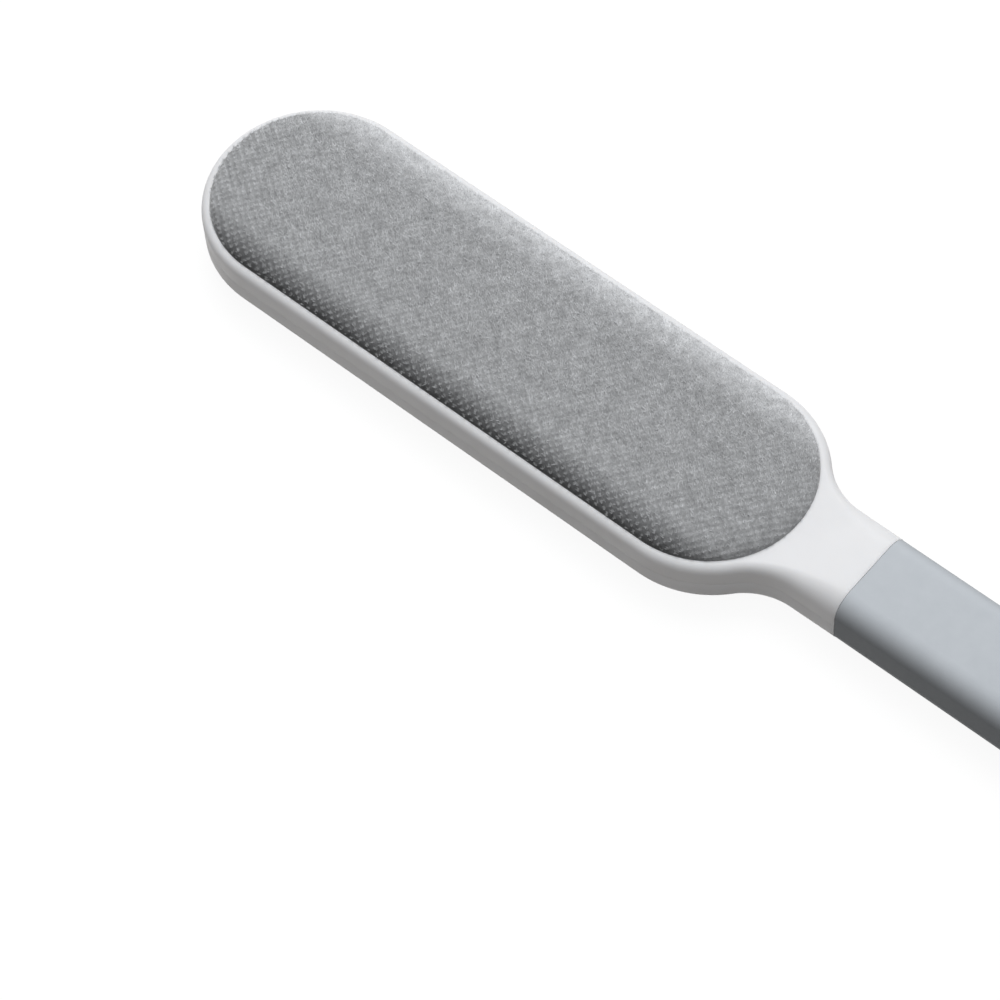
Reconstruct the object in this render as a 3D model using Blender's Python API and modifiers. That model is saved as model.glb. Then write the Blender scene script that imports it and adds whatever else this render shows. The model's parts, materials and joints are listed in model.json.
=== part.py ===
"""Double-sided lint brush in metres, Z up, lying on its rear pad.

X runs from the round end of the head to the hanging end of the handle. Each half of the brush is
modelled above its own parting plane. The rear half is the front half turned over about X.
"""

import math
from collections import namedtuple

import bmesh
import bpy
from mathutils import Matrix, Vector

# Head: a stadium in plan, with a pad sunk into each side
PAD_STRAIGHT = 0.1277
RECESS_RADIUS = 0.0265
RECESS_DEPTH = 0.0034
LIP_WIDTH = 0.00245
HEAD_HALF_THICKNESS = 0.0065
HEAD_EDGE_RADIUS = 0.0021

# Shoulder and neck: the head narrows through a concave fillet and grows thicker up to the seam
SHOULDER_FILLET = 0.0187
NECK_LENGTH = 0.0219
NECK_HALF_WIDTH = 0.0136
NECK_HALF_THICKNESS = 0.0090
NECK_EDGE_RADIUS = 0.0060
NECK_RISE_LEAD = 0.0020
SEAM_EDGE_RADIUS = 0.0008

# Shells: two mouldings that part on the middle plane
SHELL_WALL = 0.0020
INNER_EDGE_RADIUS = 0.0005
FLOOR_WALL = 0.0015
PARTING_GAP = 0.0003
RIB_THICKNESS = 0.0012
EMBED = 0.0005

# Grip: a sleeve over the tang that the two shells form
GRIP_LENGTH = 0.0880
GRIP_WALL = 0.0026
GRIP_INSET = 0.00035
GRIP_FIT = 0.0003
SEAM_GAP = 0.0003

# Hanging cap: closes the handle and plugs into the tang
CAP_LENGTH = 0.0260
CAP_TIP_HALF_THICKNESS = 0.0060
CAP_TIP_EDGE_RADIUS = 0.0050
SLOT_RADIUS = 0.0040
SLOT_STRAIGHT = 0.0060
SLOT_END_WALL = 0.0050
SLOT_MOUTH_RADIUS = 0.0015
SPIGOT_LENGTH = 0.0140
SPIGOT_FIT = 0.0003
SPIGOT_EDGE_RADIUS = 0.0010
BARB_LENGTH = 0.0040
BARB_HALF_HEIGHT = 0.0015
BARB_REACH = 0.0013
BARB_INSET = 0.0050
BARB_CLEARANCE = 0.0003

# Pads: fabric drawn over foam and a board, turned under the board's edge
PAD_GAP = 0.00035
PAD_PROUD = 0.0029
PAD_CROWN = 0.0005
ROLL_WIDTH = 0.0095
ROLL_SINK = 0.0006
FABRIC_THICKNESS = 0.0009
FLAP_WIDTH = 0.0050
FLAP_CORNER = 0.0010
BOARD_THICKNESS = 0.0017
BOARD_EDGE_RADIUS = 0.0004
LAYER_GAP = 0.00025
TAPE_MARGIN = 0.0006
REST_CUT = 0.0005

# Screws: eight alike, six under the rear pad and two under the grip
SCREW_RADIUS = 0.00125
SCREW_HEAD_RADIUS = 0.0023
SCREW_HEAD_HEIGHT = 0.0014
SCREW_HEAD_ROUND = 0.0005
SCREW_POINT = 0.0010
SCREW_SEAT = 0.0015
SCREW_SEAT_GAP = 0.00015
SCREW_SKIN = 0.0005
SCREW_CLEARANCE = 0.0003
BOSS_WALL = 0.0010
HEAD_SCREW_END_INSET = 0.03835
HEAD_SCREW_SIDE_INSET = 0.0135
TANG_SCREW_INSET = 0.0160
TANG_SCREW_BACKSET = 0.0126

# One overrun serves every cut, and one distance welds points that coincide
OVERRUN = 0.0030
WELD = 0.000002

# Steps around each curve
CAP_STEPS = 9
FILLET_STEPS = 6
EDGE_STEPS = 4
SEAM_STEPS = 3
PAD_STEPS = 8
ROLL_STEPS = 6
CROWN_STEPS = 3
TURN_STEPS = 16
TIP_STEPS = 9
MOUTH_STEPS = 3

# Exponent of the cap's outline, 2 for an ellipse, and the angle above which an edge looks sharp
CAP_BLUNTNESS = 2.6
SHARP_ANGLE = math.radians(35)

# Sizes that follow from the ones above
CAP_CENTRE = PAD_STRAIGHT / 2
HEAD_RADIUS = RECESS_RADIUS + LIP_WIDTH
PAD_TIP = CAP_CENTRE + RECESS_RADIUS
SEAM_X = PAD_TIP + NECK_LENGTH
RISE_START = PAD_TIP - NECK_RISE_LEAD
TANG_INSET = GRIP_WALL + GRIP_FIT
TANG_HALF_WIDTH = NECK_HALF_WIDTH - TANG_INSET
TANG_HALF_THICKNESS = NECK_HALF_THICKNESS - TANG_INSET
TANG_EDGE_RADIUS = NECK_EDGE_RADIUS - TANG_INSET
GRIP_START = SEAM_X + SEAM_GAP
GRIP_END = GRIP_START + GRIP_LENGTH
CAP_START = GRIP_END + SEAM_GAP
CAP_END = CAP_START + CAP_LENGTH
FLOOR_TOP = HEAD_HALF_THICKNESS - RECESS_DEPTH
FLOOR_UNDER = FLOOR_TOP - FLOOR_WALL
PARTING = PARTING_GAP / 2
PAD_RADIUS = RECESS_RADIUS - PAD_GAP
FLAP_UNDER = FLOOR_TOP + LAYER_GAP
FLAP_TOP = FLAP_UNDER + FABRIC_THICKNESS
BOARD_UNDER = FLAP_TOP + LAYER_GAP
BOARD_TOP = BOARD_UNDER + BOARD_THICKNESS
BOARD_RADIUS = PAD_RADIUS - FABRIC_THICKNESS - LAYER_GAP
FOAM_UNDER = BOARD_TOP + LAYER_GAP
FOAM_INSET = FABRIC_THICKNESS + LAYER_GAP
ROLL_BASE = HEAD_HALF_THICKNESS - ROLL_SINK
ROLL_TOP = HEAD_HALF_THICKNESS + PAD_PROUD
PAD_TOP = ROLL_TOP + PAD_CROWN
REST_LEVEL = PAD_TOP - REST_CUT
TAPE_RADIUS = BOARD_RADIUS - FLAP_WIDTH - TAPE_MARGIN
BOSS_RADIUS = SCREW_HEAD_RADIUS + SCREW_CLEARANCE + BOSS_WALL
HEAD_SCREW_X = PAD_TIP - HEAD_SCREW_END_INSET
HEAD_SCREW_Y = RECESS_RADIUS - HEAD_SCREW_SIDE_INSET
TANG_SCREW_NEAR = SEAM_X + TANG_SCREW_INSET
TANG_SCREW_FAR = CAP_START - SPIGOT_LENGTH - TANG_SCREW_BACKSET

Station = namedtuple("Station", "x y across_x across_y height edge")


def steps(first, last, count):
    """Values from first to last in count equal steps, both ends included."""
    return [first + (last - first) * step / count for step in range(count + 1)]


def smooth(share):
    """A share from 0 to 1 that starts and ends level."""
    held = min(max(share, 0.0), 1.0)
    return held * held * (3 - 2 * held)


def blend(first, last, share):
    return first + (last - first) * share


# Scene, collections and materials


def clear_scene():
    for item in list(bpy.data.objects):
        bpy.data.objects.remove(item, do_unlink=True)


def new_collection(name):
    collection = bpy.data.collections.new(name)
    bpy.context.scene.collection.children.link(collection)
    return collection


def plastic(name, colour, roughness, metallic=0.0):
    material = bpy.data.materials.new(name)
    material.use_nodes = True
    shader = material.node_tree.nodes["Principled BSDF"]
    shader.inputs["Base Color"].default_value = (*colour, 1.0)
    shader.inputs["Roughness"].default_value = roughness
    shader.inputs["Metallic"].default_value = metallic
    return material


def empty(name, parent, location, turn):
    holder = bpy.data.objects.new(name, None)
    holder.empty_display_size = HEAD_RADIUS
    holder.parent = parent
    holder.location = location
    holder.rotation_euler.x = turn
    PARTS.objects.link(holder)
    return holder


def add_part(name, mesh, holder, material):
    part = bpy.data.objects.new(name, mesh)
    part.parent = holder
    PARTS.objects.link(part)
    if not mesh.materials:
        mesh.materials.append(material)
    mesh.shade_smooth()
    mesh.set_sharp_from_angle(angle=SHARP_ANGLE)
    return part


def add_cutter(name, mesh, holder):
    cutter = bpy.data.objects.new(name, mesh)
    cutter.parent = holder
    cutter.hide_render = True
    cutter.display_type = "WIRE"
    CUTTERS.objects.link(cutter)
    return cutter


def combine(part, cutter, operation):
    modifier = part.modifiers.new(cutter.name, "BOOLEAN")
    modifier.operation = operation
    modifier.solver = "EXACT"
    modifier.object = cutter


def mirror(part, across_z=False):
    modifier = part.modifiers.new("Mirror", "MIRROR")
    modifier.use_axis = (False, True, across_z)
    modifier.merge_threshold = WELD


# Mesh builders


def mesh_from(name, form):
    bmesh.ops.remove_doubles(form, verts=form.verts, dist=WELD)
    mesh = bpy.data.meshes.new(name)
    form.to_mesh(mesh)
    form.free()
    return mesh


def loft(form, rows, round_rows=False, round_points=False):
    """Joins rows of points, each as long as the next, with a grid of faces."""
    grid = [[form.verts.new(point) for point in row] for row in rows]
    row_count = len(grid) if round_rows else len(grid) - 1
    point_count = len(grid[0]) if round_points else len(grid[0]) - 1
    for row in range(row_count):
        here = grid[row]
        there = grid[(row + 1) % len(grid)]
        for point in range(point_count):
            after = (point + 1) % len(here)
            form.faces.new((here[point], there[point], there[after], here[after]))
    return grid


def prism(name, outline, bottom, top):
    """A flat outline given thickness, from a filled 2D curve."""
    curve = bpy.data.curves.new(name, "CURVE")
    curve.dimensions = "2D"
    curve.fill_mode = "BOTH"
    curve.extrude = (top - bottom) / 2
    spline = curve.splines.new("POLY")
    spline.points.add(len(outline) - 1)
    for point, (x, y) in zip(spline.points, outline):
        point.co = (x, y, 0.0, 1.0)
    spline.use_cyclic_u = True
    guide = bpy.data.objects.new(name, curve)
    bpy.context.scene.collection.objects.link(guide)
    evaluated = guide.evaluated_get(bpy.context.evaluated_depsgraph_get())
    form = bmesh.new()
    form.from_mesh(bpy.data.meshes.new_from_object(evaluated))
    bmesh.ops.translate(form, verts=form.verts, vec=(0.0, 0.0, (top + bottom) / 2))
    bpy.data.objects.remove(guide, do_unlink=True)
    return mesh_from(name, form)


def cylinders(name, places, radius, bottom, top):
    """Upright cylinders, turned half a step so that no corner lies on the middle plane."""
    turn = Matrix.Rotation(math.pi / TURN_STEPS, 4, "Z")
    form = bmesh.new()
    for x, y in places:
        middle = Matrix.Translation((x, y, (bottom + top) / 2))
        bmesh.ops.create_cone(form, cap_ends=True, segments=TURN_STEPS, radius1=radius,
                              radius2=radius, depth=top - bottom, matrix=middle @ turn)
    return mesh_from(name, form)


def stepped_holes(name, places, profile):
    """Cutters turned from a profile of radii and levels, one at each place."""
    angles = [math.pi * (2 * step + 1) / TURN_STEPS for step in range(TURN_STEPS)]
    form = bmesh.new()
    for x, y in places:
        rows = []
        for radius, level in profile:
            rows.append([Vector((x + radius * math.cos(a), y + radius * math.sin(a), level)) for a in angles])
        grid = loft(form, rows, round_points=True)
        form.faces.new(grid[0])
        form.faces.new(grid[-1][::-1])
    bmesh.ops.recalc_face_normals(form, faces=form.faces)
    return mesh_from(name, form)


def boxes(name, corners):
    """One box for each pair of lowest and highest corners."""
    form = bmesh.new()
    for low, high in corners:
        low, high = Vector(low), Vector(high)
        scale = Matrix.Diagonal((*(high - low), 1.0))
        bmesh.ops.create_cube(form, size=1.0, matrix=Matrix.Translation((low + high) / 2) @ scale)
    return mesh_from(name, form)


# Outlines


def stadium(radius, straight, count):
    """The closed outline of a stadium that lies along X, whose flats touch the true curve."""
    outline = []
    half_step = math.pi / count / 2
    reach = radius / math.cos(half_step)
    for centre, start in ((straight / 2, -math.pi / 2), (-straight / 2, math.pi / 2)):
        for angle in steps(start + half_step, start + math.pi - half_step, count - 1):
            outline.append((centre + reach * math.cos(angle), reach * math.sin(angle)))
    return outline


def stadium_stations(count):
    """Cap centres and directions round the half of a stadium with y above zero."""
    far = [(-CAP_CENTRE, angle) for angle in steps(math.pi, math.pi / 2, count)]
    near = [(CAP_CENTRE, angle) for angle in steps(math.pi / 2, 0.0, count)]
    return far + near


def body_stations(inset, seam_edge, end):
    """Half outline of a shell, inset by a wall, from the head's far tip to the end of the tang."""
    stations = []

    def add(x, y, across_x, across_y, height, edge):
        inner_edge = max(edge - inset, INNER_EDGE_RADIUS)
        stations.append(Station(x, y, across_x, across_y, height - inset, inner_edge))

    def body(x, y, across_x, across_y):
        rise = smooth((x - RISE_START) / (SEAM_X - RISE_START))
        height = blend(HEAD_HALF_THICKNESS, NECK_HALF_THICKNESS, rise)
        add(x, y, across_x, across_y, height, blend(HEAD_EDGE_RADIUS, NECK_EDGE_RADIUS, rise))

    head = HEAD_RADIUS - inset
    neck = NECK_HALF_WIDTH - inset
    fillet = SHOULDER_FILLET + inset
    fillet_y = neck + fillet
    fillet_x = math.sqrt((head + fillet) ** 2 - fillet_y ** 2)
    turn = math.atan2(fillet_y, fillet_x)
    for angle in steps(math.pi, math.pi / 2, CAP_STEPS):
        body(head * math.cos(angle) - CAP_CENTRE, head * math.sin(angle), math.cos(angle), math.sin(angle))
    for angle in steps(math.pi / 2, turn, CAP_STEPS):
        body(head * math.cos(angle) + CAP_CENTRE, head * math.sin(angle), math.cos(angle), math.sin(angle))
    for angle in steps(turn + math.pi, 1.5 * math.pi, FILLET_STEPS)[1:]:
        x = CAP_CENTRE + fillet_x + fillet * math.cos(angle)
        body(x, fillet_y + fillet * math.sin(angle), -math.cos(angle), -math.sin(angle))
    seam = SEAM_X - inset
    for angle in steps(0.0, math.pi / 2, SEAM_STEPS):
        step_in = seam_edge * (1 - math.cos(angle))
        x = seam - seam_edge * (1 - math.sin(angle))
        add(x, neck - step_in, 0.0, 1.0, NECK_HALF_THICKNESS - step_in, NECK_EDGE_RADIUS - step_in)
    for x in (seam, end):
        add(x, TANG_HALF_WIDTH - inset, 0.0, 1.0, TANG_HALF_THICKNESS, TANG_EDGE_RADIUS)
    return stations


def section(station, bottom):
    """Points of one section, from the middle line over the rounded edge and down to bottom."""
    across = Vector((station.across_x, station.across_y, 0.0))
    foot = Vector((station.x, station.y, 0.0))
    points = []
    for angle in steps(math.pi / 2, 0.0, EDGE_STEPS):
        level = station.height - station.edge * (1 - math.sin(angle))
        points.append(foot - across * station.edge * (1 - math.cos(angle)) + Vector((0.0, 0.0, level)))
    points.insert(0, Vector((points[0].x, 0.0, station.height)))
    points.append(foot + Vector((0.0, 0.0, bottom)))
    return points


def half_body(name, stations, bottom):
    """Half of a solid with a flat underside, open only where its mirror image joins it."""
    form = bmesh.new()
    grid = loft(form, [section(station, bottom) for station in stations])
    corner = form.verts.new((stations[-1].x, 0.0, bottom))
    form.faces.new([row[-1] for row in grid] + [corner])
    form.faces.new([corner] + grid[-1][::-1])
    return mesh_from(name, form)


# Shells


def screw_places():
    head = [(x, y) for x in (-HEAD_SCREW_X, 0.0, HEAD_SCREW_X) for y in (-HEAD_SCREW_Y, HEAD_SCREW_Y)]
    tang = [(TANG_SCREW_NEAR, 0.0), (TANG_SCREW_FAR, 0.0)]
    return head, tang


def rib_corners():
    """Cross ribs between the bosses of the head, in the neck and halfway along the tang."""
    half = RIB_THICKNESS / 2
    head_reach = HEAD_RADIUS - SHELL_WALL / 2
    neck_reach = NECK_HALF_WIDTH - SHELL_WALL / 2
    tang_reach = TANG_HALF_WIDTH - SHELL_WALL / 2
    neck_x = (PAD_TIP + LIP_WIDTH + SEAM_X) / 2
    tang_x = (TANG_SCREW_NEAR + TANG_SCREW_FAR) / 2
    ribs = [(-HEAD_SCREW_X / 2, head_reach, FLOOR_UNDER + EMBED),
            (HEAD_SCREW_X / 2, head_reach, FLOOR_UNDER + EMBED),
            (neck_x, neck_reach, HEAD_HALF_THICKNESS - SHELL_WALL),
            (tang_x, tang_reach, TANG_HALF_THICKNESS - SHELL_WALL + EMBED)]
    return [((x - half, -reach, PARTING), (x + half, reach, top)) for x, reach, top in ribs]


def shell(side, holder, is_front):
    """A half casing: outer form less its cavity, with the pad's tray, ribs, bosses and holes."""
    head, tang = screw_places()
    end = GRIP_END
    outer = half_body(side + "_shell", body_stations(0.0, SEAM_EDGE_RADIUS, end), PARTING)
    part = add_part(side + "_shell", outer, holder, WHITE)
    mirror(part)

    inner = half_body("cavity", body_stations(SHELL_WALL, 0.0, end + OVERRUN), -OVERRUN)
    cavity = add_cutter(side + "_cavity", inner, holder)
    mirror(cavity)
    combine(part, cavity, "DIFFERENCE")

    tray_radius = RECESS_RADIUS + LIP_WIDTH / 2
    tray_top = HEAD_HALF_THICKNESS - SHELL_WALL + EMBED
    tray = prism("tray", stadium(tray_radius, PAD_STRAIGHT, 2 * CAP_STEPS), FLOOR_UNDER, tray_top)
    combine(part, add_cutter(side + "_tray", tray, holder), "UNION")
    combine(part, add_cutter(side + "_ribs", boxes("ribs", rib_corners()), holder), "UNION")
    head_bosses = cylinders("head_bosses", head, BOSS_RADIUS, PARTING, FLOOR_UNDER + EMBED)
    combine(part, add_cutter(side + "_head_bosses", head_bosses, holder), "UNION")
    tang_boss_top = TANG_HALF_THICKNESS - SHELL_WALL + EMBED
    tang_bosses = cylinders("tang_bosses", tang, BOSS_RADIUS, PARTING, tang_boss_top)
    combine(part, add_cutter(side + "_tang_bosses", tang_bosses, holder), "UNION")

    recess = prism("recess", stadium(RECESS_RADIUS, PAD_STRAIGHT, 2 * CAP_STEPS), FLOOR_TOP,
                   NECK_HALF_THICKNESS + OVERRUN)
    combine(part, add_cutter(side + "_recess", recess, holder), "DIFFERENCE")
    if is_front:
        pilot = SCREW_RADIUS + SCREW_CLEARANCE / 2
        profile = [(pilot, -OVERRUN), (pilot, FLOOR_TOP - SCREW_SKIN / 2)]
    else:
        through = SCREW_RADIUS + SCREW_CLEARANCE
        pocket = SCREW_HEAD_RADIUS + SCREW_CLEARANCE
        profile = [(through, -OVERRUN), (through, SCREW_SEAT), (pocket, SCREW_SEAT),
                   (pocket, NECK_HALF_THICKNESS + OVERRUN)]
    holes = stepped_holes("holes", head + tang, profile)
    combine(part, add_cutter(side + "_holes", holes, holder), "DIFFERENCE")

    window_end = GRIP_END - BARB_INSET + BARB_CLEARANCE
    window_start = window_end - BARB_LENGTH - 2 * BARB_CLEARANCE
    window_height = BARB_HALF_HEIGHT + BARB_CLEARANCE
    inner_y = TANG_HALF_WIDTH - SHELL_WALL - EMBED
    outer_y = TANG_HALF_WIDTH + OVERRUN
    windows = [((window_start, inner_y, -OVERRUN), (window_end, outer_y, window_height)),
               ((window_start, -outer_y, -OVERRUN), (window_end, -inner_y, window_height))]
    combine(part, add_cutter(side + "_windows", boxes("windows", windows), holder), "DIFFERENCE")
    return part


# Screws


def screw(number, place, holder):
    """A pan-head screw turned from its profile, head up in the rear half's own frame."""
    under = SCREW_SEAT + SCREW_SEAT_GAP
    top = under + SCREW_HEAD_HEIGHT
    tip = -(FLOOR_TOP - SCREW_SKIN)
    profile = [(0.0, top), (SCREW_HEAD_RADIUS - SCREW_HEAD_ROUND, top),
               (SCREW_HEAD_RADIUS, top - SCREW_HEAD_ROUND), (SCREW_HEAD_RADIUS, under),
               (SCREW_RADIUS, under), (SCREW_RADIUS, tip + SCREW_POINT), (0.0, tip)]
    form = bmesh.new()
    points = [form.verts.new((radius, 0.0, level)) for radius, level in profile]
    for upper, lower in zip(points, points[1:]):
        form.edges.new((upper, lower))
    part = add_part("shell_screw_%d" % number, mesh_from("shell_screw", form), holder, STEEL)
    part.location = (*place, 0.0)
    turn = part.modifiers.new("Turn", "SCREW")
    turn.steps = TURN_STEPS
    turn.render_steps = TURN_STEPS
    turn.use_merge_vertices = True
    turn.merge_threshold = WELD
    return part


# Pads


def roll_points(offset, first_angle):
    """The pad's rolled edge, an ellipse in section, moved inwards by offset along its normals."""
    rise = ROLL_TOP - ROLL_BASE
    points = []
    for angle in steps(math.pi / 2, first_angle, ROLL_STEPS):
        normal = Vector((math.cos(angle) / ROLL_WIDTH, math.sin(angle) / rise)).normalized()
        inset = ROLL_WIDTH * (1 - math.cos(angle)) + offset * normal.x
        points.append((inset, ROLL_BASE + rise * math.sin(angle) - offset * normal.y))
    return points


def crown_points(offset, level_limit):
    """The pad's crown, from its middle line out to the rolled edge."""
    points = []
    for share in steps(0.0, 1.0, CROWN_STEPS)[:-1]:
        inset = blend(PAD_RADIUS, ROLL_WIDTH, share)
        level = ROLL_TOP + PAD_CROWN * (1 - share ** 2)
        points.append((inset, min(level, level_limit) - offset))
    return points


def pad_mesh(name, profile):
    """A solid that follows the pad's outline, with its section as insets and levels."""
    rows = []
    for centre, angle in stadium_stations(PAD_STEPS):
        across = Vector((math.cos(angle), math.sin(angle), 0.0))
        row = []
        for inset, level in profile:
            row.append(Vector((centre, 0.0, level)) + across * (PAD_RADIUS - inset))
        rows.append(row)
    form = bmesh.new()
    loft(form, rows)
    for vertex in form.verts:
        if abs(vertex.co.y) < WELD:
            vertex.co.y = 0.0
    return mesh_from(name, form)


def fabric_profile(level_limit):
    corner = [(FLAP_CORNER * (1 - math.cos(angle)), FLAP_UNDER + FLAP_CORNER * (1 - math.sin(angle)))
              for angle in steps(0.0, math.pi / 2, SEAM_STEPS)]
    flap_end = FOAM_INSET + FLAP_WIDTH
    outside = crown_points(0.0, level_limit) + roll_points(0.0, 0.0) + corner
    flap = [(flap_end, FLAP_UNDER), (flap_end, FLAP_TOP), (FABRIC_THICKNESS, FLAP_TOP)]
    inside = roll_points(FABRIC_THICKNESS, 0.0)[::-1] + crown_points(FABRIC_THICKNESS, PAD_TOP)[::-1]
    return outside + flap + inside


def foam_profile():
    """The foam keeps to the fabric's inside, and starts where that stands above the board."""
    rise = ROLL_TOP - ROLL_BASE
    start = math.asin((FOAM_UNDER + FOAM_INSET - ROLL_BASE) / rise)
    top = crown_points(FOAM_INSET, PAD_TOP) + roll_points(FOAM_INSET, start)
    return top + [(top[-1][0], FOAM_UNDER), (PAD_RADIUS, FOAM_UNDER)]


def pad(side, holder, level_limit):
    fabric = add_part(side + "_fabric", pad_mesh("fabric", fabric_profile(level_limit)), holder, FABRIC)
    mirror(fabric)
    foam = add_part(side + "_foam", pad_mesh("foam", foam_profile()), holder, FOAM)
    mirror(foam)
    outline = stadium(BOARD_RADIUS, PAD_STRAIGHT, 2 * PAD_STEPS)
    board = add_part(side + "_board", prism("board", outline, BOARD_UNDER, BOARD_TOP), holder, BOARD)
    bevel = board.modifiers.new("Edges", "BEVEL")
    bevel.width = BOARD_EDGE_RADIUS
    bevel.segments = 1
    outline = stadium(TAPE_RADIUS, PAD_STRAIGHT, 2 * PAD_STEPS)
    add_part(side + "_mounting_tape", prism("tape", outline, FLAP_UNDER, FLAP_TOP), holder, TAPE)


# Grip


def ring(x, half_width, half_height, edge):
    """One closed section of the grip, square to X."""
    points = []
    for corner in range(4):
        side_y = 1 if corner in (0, 3) else -1
        side_z = 1 if corner in (0, 1) else -1
        for angle in steps(corner * math.pi / 2, (corner + 1) * math.pi / 2, EDGE_STEPS):
            y = side_y * (half_width - edge) + edge * math.cos(angle)
            z = side_z * (half_height - edge) + edge * math.sin(angle)
            points.append(Vector((x, y, z)))
    return points


def grip(holder):
    """A sleeve with rounded ends, and a bore that clears the tang."""
    rows = []
    for end, way, angles in ((GRIP_START, 1, steps(math.pi / 2, 0.0, SEAM_STEPS)),
                             (GRIP_END, -1, steps(0.0, math.pi / 2, SEAM_STEPS))):
        for angle in angles:
            drop = GRIP_INSET + SEAM_EDGE_RADIUS * (1 - math.cos(angle))
            x = end + way * SEAM_EDGE_RADIUS * (1 - math.sin(angle))
            rows.append(ring(x, NECK_HALF_WIDTH - drop, NECK_HALF_THICKNESS - drop, NECK_EDGE_RADIUS - drop))
    for x in (GRIP_END, GRIP_START):
        rows.append(ring(x, TANG_HALF_WIDTH + GRIP_FIT, TANG_HALF_THICKNESS + GRIP_FIT,
                         TANG_EDGE_RADIUS + GRIP_FIT))
    form = bmesh.new()
    loft(form, rows, round_rows=True, round_points=True)
    bmesh.ops.recalc_face_normals(form, faces=form.faces)
    return add_part("grip_sleeve", mesh_from("grip_sleeve", form), holder, GREY)


# Hanging cap


def cap_stations():
    """Half outline of the cap: a rounded edge at the seam, then half of a blunt oval."""
    stations = []
    for angle in steps(math.pi / 2, 0.0, SEAM_STEPS):
        step_in = SEAM_EDGE_RADIUS * (1 - math.cos(angle))
        x = CAP_START + SEAM_EDGE_RADIUS * (1 - math.sin(angle))
        height = NECK_HALF_THICKNESS - step_in
        stations.append(Station(x, NECK_HALF_WIDTH - step_in, 0.0, 1.0, height, NECK_EDGE_RADIUS - step_in))
    start = CAP_START + SEAM_EDGE_RADIUS
    reach = CAP_END - start
    for angle in steps(0.0, math.pi / 2, TIP_STEPS)[1:]:
        along = math.sin(angle) ** (2 / CAP_BLUNTNESS)
        out = max(math.cos(angle), 0.0) ** (2 / CAP_BLUNTNESS)
        if angle == math.pi / 2:
            out = 0.0
        slope = Vector((along ** (CAP_BLUNTNESS - 1) / reach, out ** (CAP_BLUNTNESS - 1) / NECK_HALF_WIDTH))
        slope.normalize()
        fall = smooth(along)
        height = blend(NECK_HALF_THICKNESS, CAP_TIP_HALF_THICKNESS, fall)
        edge = blend(NECK_EDGE_RADIUS, CAP_TIP_EDGE_RADIUS, fall)
        stations.append(Station(start + reach * along, NECK_HALF_WIDTH * out, slope.x, slope.y, height, edge))
    return stations


def slot_mesh():
    """The hanging slot with a rounded mouth on both faces."""
    centre = CAP_END - SLOT_END_WALL - SLOT_RADIUS - SLOT_STRAIGHT / 2
    share = (centre - CAP_START) / CAP_LENGTH
    face = blend(NECK_HALF_THICKNESS, CAP_TIP_HALF_THICKNESS, smooth(share))
    levels = []
    for angle in steps(0.0, math.pi / 2, MOUTH_STEPS):
        flare = SLOT_MOUTH_RADIUS * (1 - math.cos(angle))
        levels.append((face - SLOT_MOUTH_RADIUS * (1 - math.sin(angle)), flare))
    levels.append((face + OVERRUN, SLOT_MOUTH_RADIUS))
    levels = [(-level, flare) for level, flare in levels[::-1]] + levels
    rows = []
    for level, flare in levels:
        outline = stadium(SLOT_RADIUS + flare, SLOT_STRAIGHT, PAD_STEPS)
        rows.append([Vector((centre + x, y, level)) for x, y in outline])
    form = bmesh.new()
    grid = loft(form, rows, round_points=True)
    form.faces.new(grid[0])
    form.faces.new(grid[-1][::-1])
    bmesh.ops.recalc_face_normals(form, faces=form.faces)
    return mesh_from("slot", form)


def cap(holder):
    form = bmesh.new()
    grid = loft(form, [section(station, 0.0) for station in cap_stations()])
    form.faces.new(grid[0] + [form.verts.new((CAP_START, 0.0, 0.0))])
    part = add_part("hanging_cap", mesh_from("hanging_cap", form), holder, WHITE)
    mirror(part, across_z=True)

    inner_y = TANG_HALF_WIDTH - SHELL_WALL - SPIGOT_FIT
    inner_z = TANG_HALF_THICKNESS - SHELL_WALL - SPIGOT_FIT
    body = ((CAP_START - SPIGOT_LENGTH, -inner_y, -inner_z), (CAP_START + EMBED, inner_y, inner_z))
    spigot = add_cutter("spigot", boxes("spigot", [body]), holder)
    bevel = spigot.modifiers.new("Edges", "BEVEL")
    bevel.width = SPIGOT_EDGE_RADIUS
    bevel.segments = 2
    combine(part, spigot, "UNION")
    barb_end = GRIP_END - BARB_INSET
    barb = ((barb_end - BARB_LENGTH, -inner_y - BARB_REACH, -BARB_HALF_HEIGHT),
            (barb_end, inner_y + BARB_REACH, BARB_HALF_HEIGHT))
    combine(part, add_cutter("barbs", boxes("barbs", [barb]), holder), "UNION")
    combine(part, add_cutter("slot", slot_mesh(), holder), "DIFFERENCE")
    return part


clear_scene()
PARTS = new_collection("double_sided_lint_brush")
CUTTERS = new_collection("cutters")
WHITE = plastic("white_plastic", (0.80, 0.80, 0.82), 0.38)
GREY = plastic("grey_soft_touch", (0.42, 0.45, 0.47), 0.62)
FABRIC = plastic("grey_hook_fabric", (0.27, 0.28, 0.29), 0.95)
FOAM = plastic("white_foam", (0.72, 0.72, 0.70), 0.90)
BOARD = plastic("board_plastic", (0.30, 0.30, 0.30), 0.60)
TAPE = plastic("foam_tape", (0.55, 0.55, 0.52), 0.85)
STEEL = plastic("zinc_steel", (0.58, 0.57, 0.55), 0.35, 1.0)

middle_x = (CAP_END - CAP_CENTRE - HEAD_RADIUS) / 2
brush = empty("brush", None, (-middle_x, 0.0, REST_LEVEL), 0.0)
front = empty("front_half", brush, (0.0, 0.0, 0.0), 0.0)
rear = empty("rear_half", brush, (0.0, 0.0, 0.0), math.pi)
shell("front", front, True)
shell("rear", rear, False)
pad("front", front, PAD_TOP)
pad("rear", rear, REST_LEVEL)
grip(brush)
cap(brush)
for number, place in enumerate(sum(screw_places(), []), start=1):
    screw(number, place, rear)
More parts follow.
